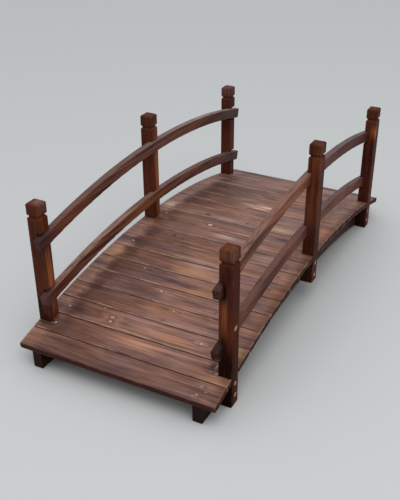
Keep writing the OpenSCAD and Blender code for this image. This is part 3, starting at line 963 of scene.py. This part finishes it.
# the colour of the top, bleached and painted with the sky's light and sheen, towards the near and
# the far end, and at the near tip
rail_tops = {
    ("upper", "left"): ((0.120, 0.067, 0.057), (0.249, 0.192, 0.181), TIP),
    ("upper", "right"): ((0.215, 0.107, 0.079), (0.120, 0.103, 0.101), TIP),
    ("lower", "left"): ((0.256, 0.148, 0.113), (0.113, 0.066, 0.058), TIP),
    ("lower", "right"): ((0.127, 0.057, 0.048), (0.106, 0.074, 0.079), (0.014, 0.006, 0.005)),
}


def bleached_and_lit_top(near_tone, far_tone, tip_tone):
    """The extra layer of one rail, bleaching with painted light and sheen: amount by how far a face
    looks up, colour by place along it.
    """
    def extra(wiring, place, parts, colour, figure):
        up = wiring.parts(wiring.node("ShaderNodeNewGeometry").outputs["True Normal"])[2]
        amount = wiring.times(wiring.step(up, 0.5, 0.9),
                              wiring.step(figure["Streak"], 0.30, 0.66, 0.25, 1.0))
        top = wiring.blend(wiring.step(parts[1], *TONES_TURN), near_tone, far_tone)
        top = wiring.blend(wiring.step(parts[1], *TIP_BEGINS, 0.0, 0.9), top, tip_tone)
        return wiring.blend(amount, colour, top), 0.0
    return extra


for number, rail in enumerate(rail_tops):
    name = "rail_%s_%s" % rail
    low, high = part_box(name)
    timber = Timber(name, tuple((low + high) / 2), (0.0, 0.0, -math.pi / 2), RAIL_HALF,
                    seed=211.0 + number * 9.1, pith=(0.02, 0.0, -0.05), ring=0.0050)
    # a dark stain, made darker still as painted shade for the upright sides
    timber.tones = ((0.050, 0.0155, 0.0105), (0.21, 0.077, 0.045))
    timber.wear, timber.contrast, timber.gloss = 0.0, 1.15, 0.12
    timber.patches = rail_patches[rail]
    dress(name, grow(timber, bleached_and_lit_top(*rail_tops[rail])))
    print(name, "%.0f mm long" % (1000 * (high.x - low.x)))

# %% [markdown]
# ## Arch beams
# The beams stand in the shade under the deck. Their dark stain is painted nearly black there as
# shade, and their near ends are painted blacker still, as the shade under the front of the deck.

# %% Arch beams
BEAM_HALF = (0.014, 0.70, 0.2)

for number, side in enumerate(("left", "right")):
    name = "stringer_" + side
    low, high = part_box(name)
    timber = Timber(name, tuple((low + high) / 2), (0.0, 0.0, -math.pi / 2), BEAM_HALF,
                    seed=307.0 + number * 3.9, pith=(0.02, 0.0, -0.06), ring=0.0050)
    # a dark stain, painted nearly black as the shade under the deck
    timber.tones = ((0.018, 0.006, 0.004), (0.062, 0.021, 0.012))
    timber.wear, timber.gloss = 0.0, 0.08
    # painted shade: the near end blacker, under the front of the deck
    timber.patches = [((0.0, -0.70, 0.0), (0.0, 0.05, 0.0), 1.1, SOOT_AND_SHADE)]
    dress(name, grow(timber))
print("materials:", len(bpy.data.materials))

# %% [markdown]
# ## Metal of the screws
# Most heads were stained over with the wood, and zinc shows only on the few that were rubbed
# bare. Dirt fills the recess, and its dark colour is also painted shade of the recess's depth. A
# noise between a dull and a bright tone serves all three.

# %% Zinc and dirt


def metal(name, dull, bright, metallic):
    """Zinc with blotches of grime between two tones."""
    material, shader, wiring = new_material(name)
    solid = wiring.node("ShaderNodeTexCoord").outputs["Object"]
    grime = wiring.noise(solid, (700.0, 700.0, 700.0), 5.0, 3.0, 0.6)
    wiring.fill(shader.inputs["Base Color"], wiring.blend(wiring.step(grime, 0.3, 0.7), dull, bright))
    wiring.fill(shader.inputs["Roughness"], wiring.step(grime, 0.3, 0.7, 0.6, 0.4))
    shader.inputs["Metallic"].default_value = metallic
    bump = wiring.node("ShaderNodeBump", {"Height": grime, "Strength": 0.3, "Distance": 0.0002})
    wiring.fill(shader.inputs["Normal"], bump.outputs["Normal"])
    return material


zinc = metal("bare_zinc", (0.30, 0.19, 0.14), (0.60, 0.45, 0.37), 0.1)
stained = metal("zinc_under_stain", (0.085, 0.038, 0.025), (0.22, 0.12, 0.085), 0.3)

# the recess: dirt, with painted shade of its depth
recess, shader, wiring = new_material("recess_dirt_and_shade")
dirt = wiring.noise(wiring.node("ShaderNodeTexCoord").outputs["Object"], (900.0, 900.0, 900.0),
                    9.0, 2.0)
wiring.fill(shader.inputs["Base Color"],
            wiring.blend(dirt, (0.020, 0.014, 0.012), (0.10, 0.075, 0.060)))
wiring.fill(shader.inputs["Roughness"], wiring.step(dirt, 0.3, 0.7, 0.5, 0.8))
print("metals:", zinc.name, stained.name, recess.name)

# %% [markdown]
# ## Screw heads
# A head is a shallow dome with a cross-shaped recess. Its outline and the cross are both
# star-shaped about the middle, so the whole head is one grid: rings from the middle outwards, and
# an angle round. One head is worked out once and copied to every place by a turn and a shift.

# %% The mesh of one head
SUNK = 0.0006
ANGLES = 32


def screw_head(radius, proud):
    """Vertices, faces of four and of three sides, and dark faces of one head, Z outwards.

    The cross reaches L / cos(a) or w / sin(a) from the middle, whichever is less, where a is the
    angle to the nearest arm. The dome falls as 1 - 0.55 (r / radius)**2 to the rim.
    """
    turn = np.arange(ANGLES) * 2 * np.pi / ANGLES
    arm = np.abs((turn + np.pi / 4) % (np.pi / 2) - np.pi / 4)
    cross = np.minimum(0.58 * radius / np.cos(arm), 0.15 * radius / np.maximum(np.sin(arm), 1e-6))
    rim = np.full(ANGLES, radius)
    reach = np.stack([cross * 0.80, cross, 0.6 * cross + 0.4 * rim, 0.90 * rim, rim, rim])
    dome = proud * (1 - 0.55 * (reach / radius) ** 2)
    dome[0] = proud * 0.25
    dome[4], dome[5] = proud * 0.30, -SUNK
    rings = np.stack([reach * np.cos(turn), reach * np.sin(turn), dome], -1).reshape(-1, 3)
    points = np.vstack([rings, [[0, 0, proud * 0.25], [0, 0, -SUNK]]])
    ring, step = np.meshgrid(np.arange(5), np.arange(ANGLES), indexing="ij")
    after = (step + 1) % ANGLES
    sides = np.stack([ring * ANGLES + step, (ring + 1) * ANGLES + step,
                      (ring + 1) * ANGLES + after, ring * ANGLES + after], -1).reshape(-1, 4)
    first = np.arange(ANGLES)
    middle = np.stack([np.full(ANGLES, 6 * ANGLES), first, (first + 1) % ANGLES], -1)
    under = np.stack([np.full(ANGLES, 6 * ANGLES + 1), 5 * ANGLES + (first + 1) % ANGLES,
                      5 * ANGLES + first], -1)
    dark = np.concatenate([np.arange(len(sides)) < ANGLES, np.ones(ANGLES, bool),
                           np.zeros(ANGLES, bool)])
    return points, sides, np.vstack([middle, under]), dark


# %% [markdown]
# Screws of one kind are a single piece: the points of a head are turned and shifted for each
# place, and the faces count on. Three materials share the piece, one for each face's own slot.

# %% Many heads in one piece
ZINC_SLOT, RECESS_SLOT, STAINED_SLOT = 0, 1, 2


def screws(name, places, radius, proud):
    """One piece of many heads. places holds (centre, outward direction, turn about it, bare)."""
    points, sides, fans, dark = screw_head(radius, proud)
    all_points, all_faces, paint = [], [], []
    for number, (centre, out, turn, bare) in enumerate(places):
        spin = (Vector(out).to_track_quat("Z", "Y").to_matrix()
                @ Matrix.Rotation(turn, 3, "Z"))
        all_points.append(points @ np.array(spin).T + np.array(centre))
        begin = number * len(points)
        all_faces += (sides + begin).tolist() + (fans + begin).tolist()
        paint.append(np.where(dark, RECESS_SLOT, ZINC_SLOT if bare else STAINED_SLOT))
    mesh = bpy.data.meshes.new(name)
    mesh.from_pydata(np.vstack(all_points).tolist(), [], all_faces)
    mesh.polygons.foreach_set("material_index", np.concatenate(paint).astype(np.int32))
    mesh.polygons.foreach_set("use_smooth", np.ones(len(mesh.polygons), bool))
    mesh.update()
    piece = bpy.data.objects.new(name, mesh)
    scene.collection.objects.link(piece)
    for material in (zinc, recess, stained):
        piece.data.materials.append(material)
    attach(piece, "root")
    print(name, len(places), "heads,", len(mesh.polygons), "faces")
    return piece


# %% [markdown]
# The boards are held down by one countersunk screw at each end, the first and the last board by
# two. A screw stops at any angle, so a seeded generator draws the turn of each recess.

# %% Screws of the boards
BOARD_HEAD, BOARD_HEAD_PROUD = 0.0040, 0.00035

spread = np.random.default_rng(7)
bare_heads = {(2, 1), (3, 1), (7, 1), (8, 1), (11, 1), (14, -1), (19, -1)}
places = []
for board in range(1, BOARDS + 1):
    angle = board_angle(board)
    out = (math.sin(angle), 0.0, math.cos(angle))
    for side in (1, -1):
        for shift in ((-SCREW_SHIFT, SCREW_SHIFT) if board in (1, BOARDS) else (0.0,)):
            centre = (DECK_RADIUS * out[0] + shift * out[2], side * BEAM_Y,
                      CENTRE_Z + DECK_RADIUS * out[2] - shift * out[0])
            bare = (board, side) in bare_heads
            places.append((centre, out, spread.uniform(0, math.pi), bare))
screws("deck_screws", places, BOARD_HEAD, BOARD_HEAD_PROUD)

# %% [markdown]
# Each post is held by two screws through its outer face into the beam. They were driven flush, so
# a head stands proud by only a few hundredths of a millimetre, and none is quite in the middle.

# %% Screws of the posts
POST_X = 0.592
POST_OUTER = 0.3115
OFF_MIDDLE = 0.003
POST_HEAD, POST_HEAD_PROUD = 0.0060, 0.00003

# place along the bridge, shift from the middle of the post, heights of the two screws
places = []
for along, shift, heights in ((-1, 0.004, (0.030, 0.069)), (0, 0.0, (0.092, 0.135)),
                              (1, 0.0, (0.025, 0.064))):
    for side in (1, -1):
        for height in heights:
            centre = (along * POST_X + shift + spread.uniform(-OFF_MIDDLE, OFF_MIDDLE),
                      side * POST_OUTER, height)
            places.append((centre, (0.0, float(side), 0.0), spread.uniform(0, math.pi), True))
screws("post_screws", places, POST_HEAD, POST_HEAD_PROUD)
